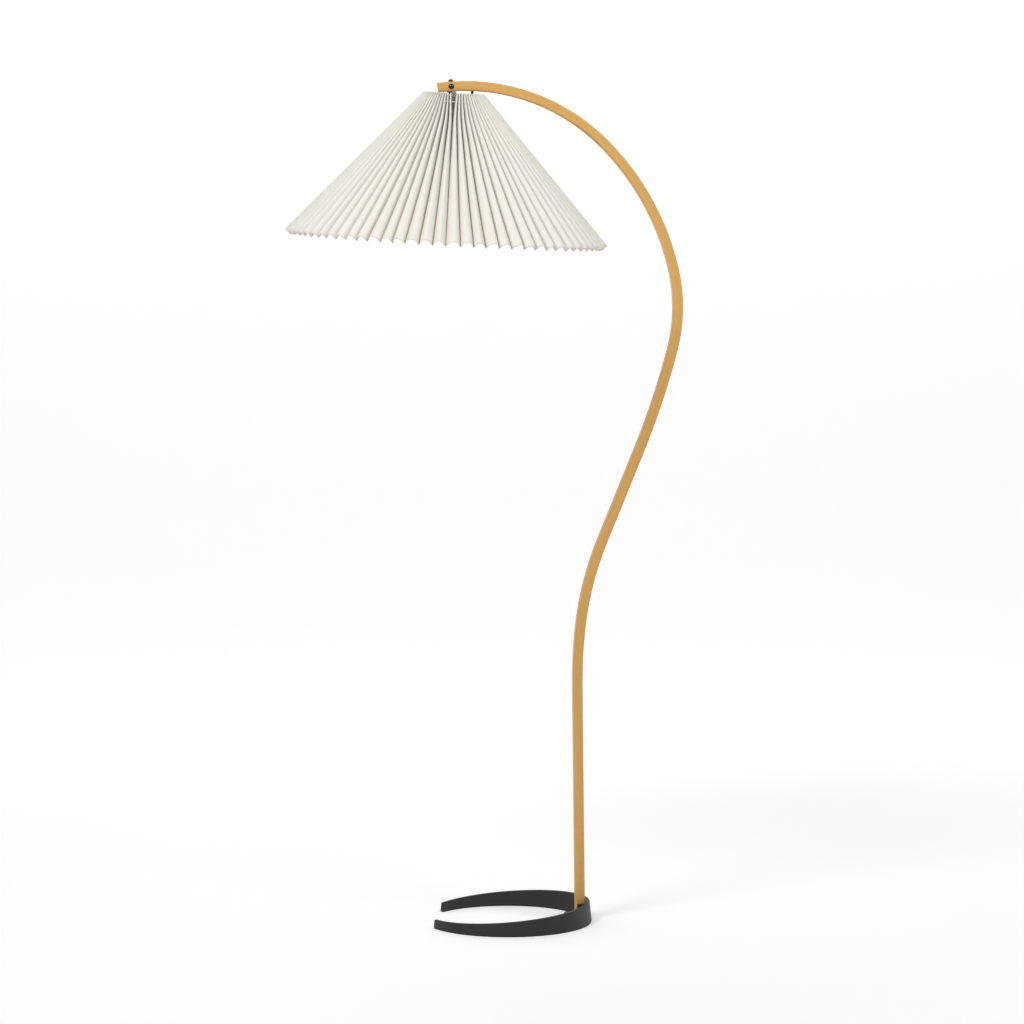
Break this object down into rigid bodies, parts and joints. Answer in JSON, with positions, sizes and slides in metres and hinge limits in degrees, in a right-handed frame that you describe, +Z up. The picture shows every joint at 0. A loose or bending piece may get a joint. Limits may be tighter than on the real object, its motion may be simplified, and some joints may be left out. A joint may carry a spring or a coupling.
{
  "type": "arc floor lamp",
  "caption": "Floor lamp with an open crescent base, a bent wooden stem that arches over, and a wide pleated cone shade hung from a clamped hinge at the arm's end.",
  "frame": {"origin": "on the floor under the foot of the stem, inside the closed end of the base", "axes": "+Z up; -X towards the shade and the opening of the base, which is turned 7.5 degrees towards +Y; the stem bends in the XZ plane; +Y across"},
  "size_m": [0.734, 0.594, 1.5673],
  "materials": {
    "cast_base": "matte",
    "felt_sole": "matte",
    "screw_steel": "satin",
    "brass_inserts": "satin",
    "black_rubber": "matte",
    "bent_wood": "satin",
    "black_lead": "satin",
    "black_steel": "gloss",
    "bright_steel": "satin",
    "black_moulding": "satin",
    "holder_moulding": "satin",
    "ceramic_block": "satin",
    "brass_shell": "satin",
    "carrier_wire": "satin",
    "tie_string": "matte",
    "shade_cloth": "matte",
    "opal_glass": "satin",
    "bulb_metal": "satin"
  },
  "bodies": {
    "stand": {"base_casting": "cast_base", "base_sole": "felt_sole", "foot_screws": "screw_steel", "foot_inserts": "brass_inserts", "inlet_grommet": "black_rubber", "stem": "bent_wood", "groove_strip": "bent_wood", "stem_lead": "black_lead", "clamp_bolt": "black_steel", "clamp_washer": "bright_steel", "head_flex": "black_lead"},
    "knob": {"clamp_knob": "black_moulding", "clamp_knob_insert": "brass_inserts"},
    "head": {"hanger_tongue": "bright_steel", "hanger_tube": "bright_steel", "tube_nuts": "bright_steel", "holder_cap": "holder_moulding", "holder_bush": "black_rubber", "holder_body": "holder_moulding", "holder_block": "ceramic_block", "holder_shell": "brass_shell", "holder_contact": "brass_shell"},
    "shade": {"shade_carrier": "carrier_wire", "shade_string": "tie_string", "shade_cover": "shade_cloth"},
    "ring_nut": {"shade_ring_nut": "holder_moulding"},
    "bulb": {"bulb_glass": "opal_glass", "bulb_cap": "bulb_metal", "bulb_contact": "bulb_metal"}
  },
  "joints": [
    {"name": "head_tilt", "type": "hinge", "parent": "stand", "child": "head", "pos_m": [-0.23773, 0, 1.55357], "axis": [0, 1, 0], "range_deg": [-2.5, 20], "deforming": ["head_flex"]},
    {"name": "knob_turn", "type": "hinge", "parent": "stand", "child": "knob", "pos_m": [-0.23773, 0.022, 1.55357], "axis": [0, 1, 0], "range_deg": [0, 350]},
    {"name": "shade_turn", "type": "hinge", "parent": "head", "child": "shade", "pos_m": [-0.23154, 0, 1.55323], "axis": [0.055, 0, 0.9985], "continuous": true},
    {"name": "ring_nut_turn", "type": "hinge", "parent": "head", "child": "ring_nut", "pos_m": [-0.23154, 0, 1.55323], "axis": [0.055, 0, 0.9985], "continuous": true},
    {"name": "bulb_out", "type": "slide", "parent": "head", "child": "bulb", "axis": [-0.055, 0, -0.9985], "range_m": [0, 0.03]}
  ]
}
